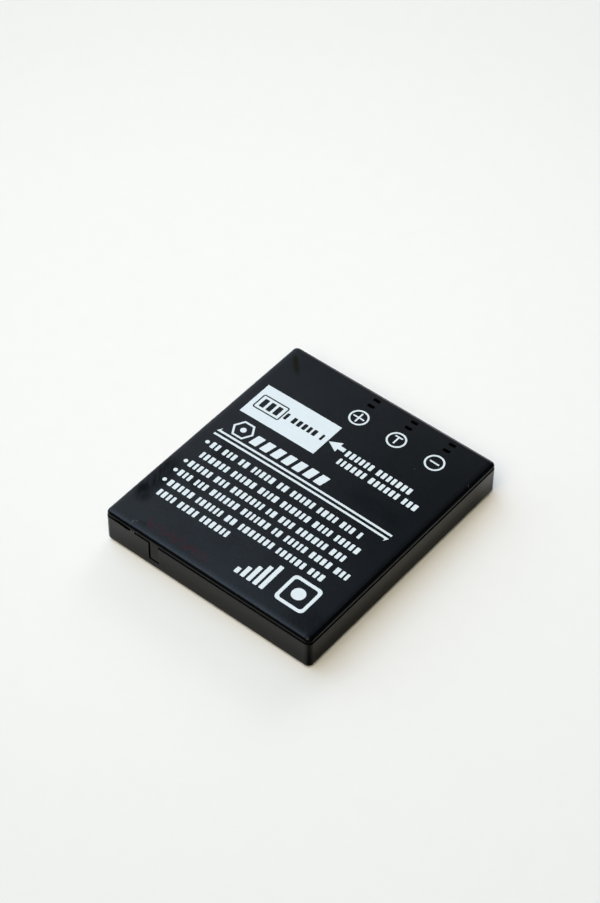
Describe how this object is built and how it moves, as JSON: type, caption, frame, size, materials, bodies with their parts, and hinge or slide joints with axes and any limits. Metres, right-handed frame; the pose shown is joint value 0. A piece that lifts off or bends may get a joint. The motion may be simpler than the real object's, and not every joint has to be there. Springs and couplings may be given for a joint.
{
  "type": "camera battery",
  "caption": "Flat rectangular camera battery: a black moulded tray and crowned lid around a sealed cell, with a protection board and plated contacts behind windows at one end.",
  "frame": {"origin": "centre of the pack's outline, on its underside", "axes": "+X along the printed lines, +Y towards the contact end, +Z out of the printed lid"},
  "size_m": [0.035, 0.04, 0.006],
  "materials": {
    "case_plastic": "black moulded plastic, satin",
    "print_white": "thin pad-printed ink",
    "contact_gold": "gold-plated strip",
    "cell_aluminium": "drawn can, satin",
    "nickel": "rolled strip",
    "gasket_plastic": "moulded",
    "tape": "double-sided tape",
    "insulating_card": "pressed insulating card",
    "board": "glass-fibre board with green solder mask",
    "chip_plastic": "moulded package",
    "chip_ceramic": "fired ceramic"
  },
  "bodies": {
    "root": {"case_base": "case_plastic", "case_lid": "case_plastic", "cell_can": "cell_aluminium", "cell_tape": "tape", "cell_terminal_gasket": "gasket_plastic", "cell_negative_terminal": "nickel", "negative_strip": "nickel", "positive_strip": "nickel", "insulating_card": "insulating_card", "protection_board": "board", "protection_ic": "chip_plastic", "mosfet": "chip_plastic", "thermistor": "chip_ceramic", "resistors": "chip_ceramic", "capacitors": "chip_ceramic", "contact_plus": "contact_gold", "contact_temperature": "contact_gold", "contact_minus": "contact_gold"}
  },
  "joints": []
}
